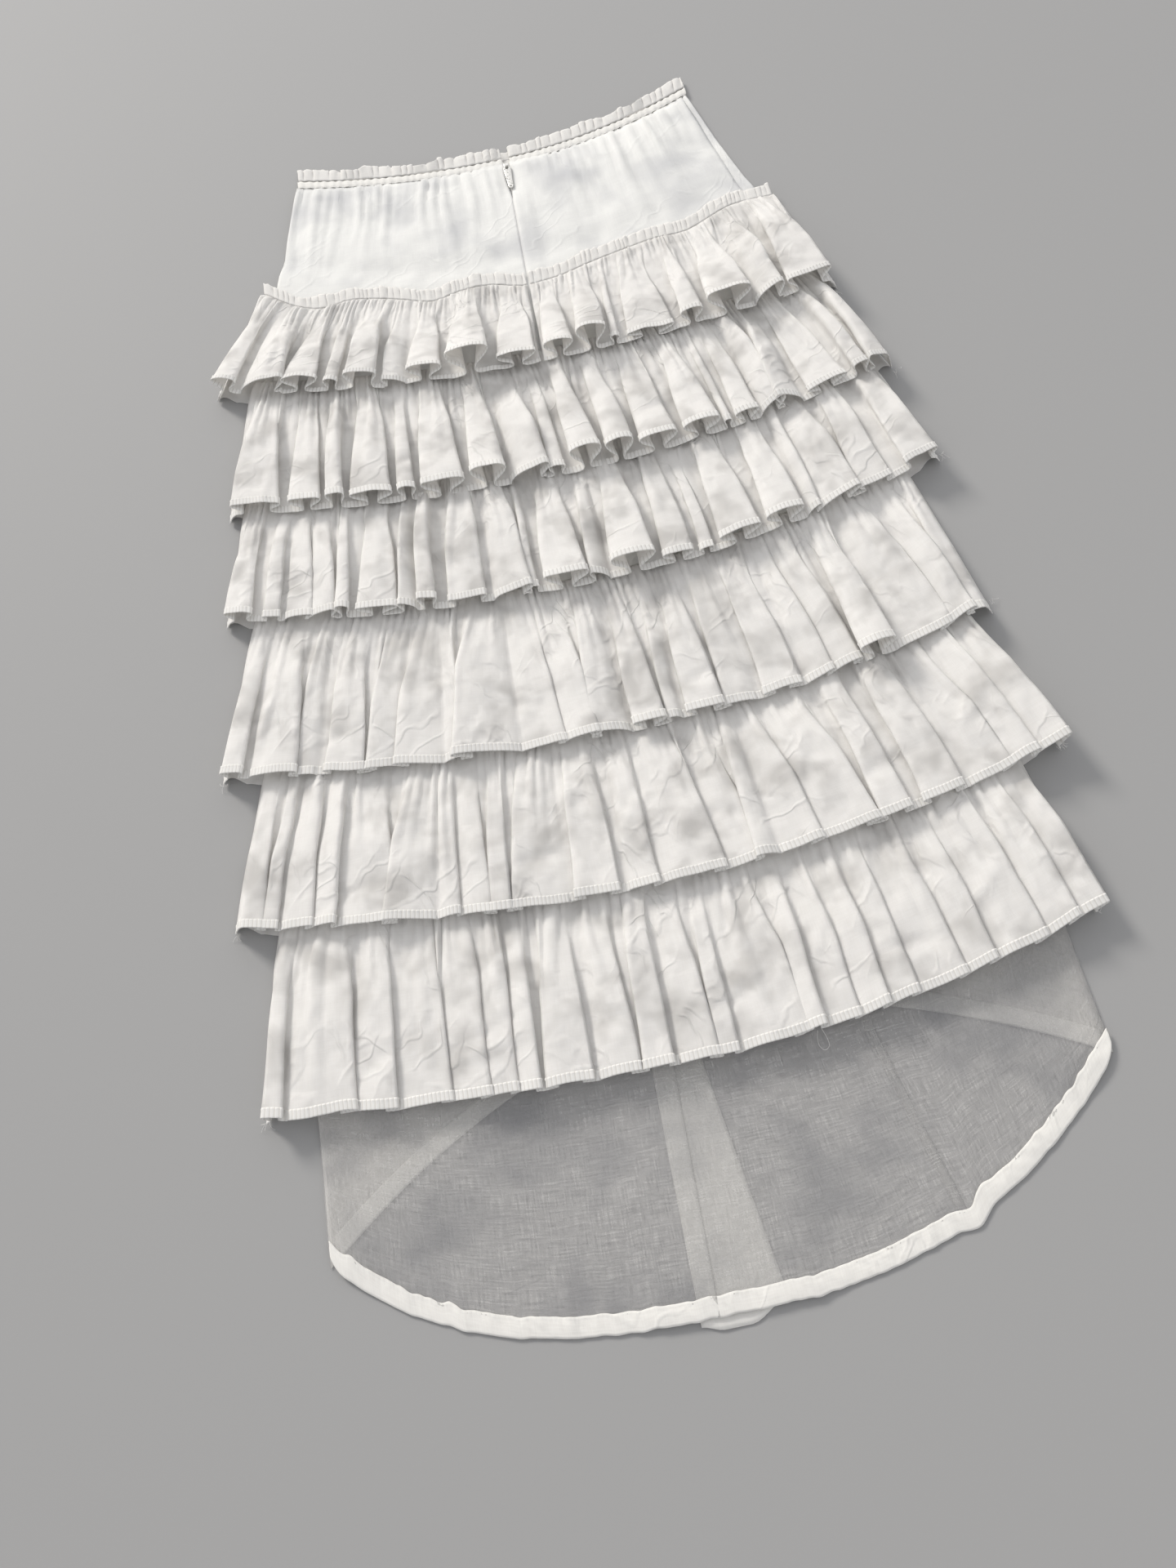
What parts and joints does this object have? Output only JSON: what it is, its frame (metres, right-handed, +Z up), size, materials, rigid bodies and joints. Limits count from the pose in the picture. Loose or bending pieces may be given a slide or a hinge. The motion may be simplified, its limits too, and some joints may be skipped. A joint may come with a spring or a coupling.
{
  "type": "tiered skirt",
  "caption": "Long tiered skirt of gathered cotton voile, laid flat with its back and zip upwards, with a high front hem and a low back hem.",
  "frame": {"origin": "on the surface that the skirt lies on, under the middle of its length and width", "axes": "+Y from hem to waist, +X to the right seen from above, +Z up from the surface"},
  "size_m": [0.5058, 0.9155, 0.0244],
  "materials": {
    "voile": "soft plain-woven white cotton voile, slightly sheer in one layer",
    "band_cloth": "the same voile folded double and stitched",
    "zip_tape": "white woven polyester tape",
    "enamel": "white enamelled zinc, worn to grey metal at its edges"
  },
  "bodies": {
    "skirt": {"base_front": "voile", "base_back_left": "voile", "base_back_right": "voile", "back_pleat": "voile", "heading_back_left": "voile", "heading_back_right": "voile", "ruffle_1_back_left": "voile", "ruffle_1_back_right": "voile", "ruffle_1_front": "voile", "ruffle_2_back": "voile", "ruffle_2_front": "voile", "ruffle_3_back": "voile", "ruffle_3_front": "voile", "ruffle_4_back": "voile", "ruffle_4_front": "voile", "ruffle_5_back": "voile", "ruffle_5_front": "voile", "ruffle_6_back": "voile", "ruffle_6_front": "voile", "waist_frill_back_left": "voile", "waist_frill_back_right": "voile", "waist_frill_front": "voile", "waistband_back_left": "band_cloth", "waistband_back_right": "band_cloth", "waistband_front": "band_cloth", "zip_tape_left": "zip_tape", "zip_tape_right": "zip_tape", "zip_slider": "enamel"},
    "pull": {"zip_pull": "enamel"}
  },
  "joints": [
    {"name": "pull_hinge", "type": "hinge", "parent": "skirt", "child": "pull", "pos_m": [0.00592, 0.404, 0.0046], "axis": [-1, 0, 0], "range_deg": [0, 160]}
  ]
}
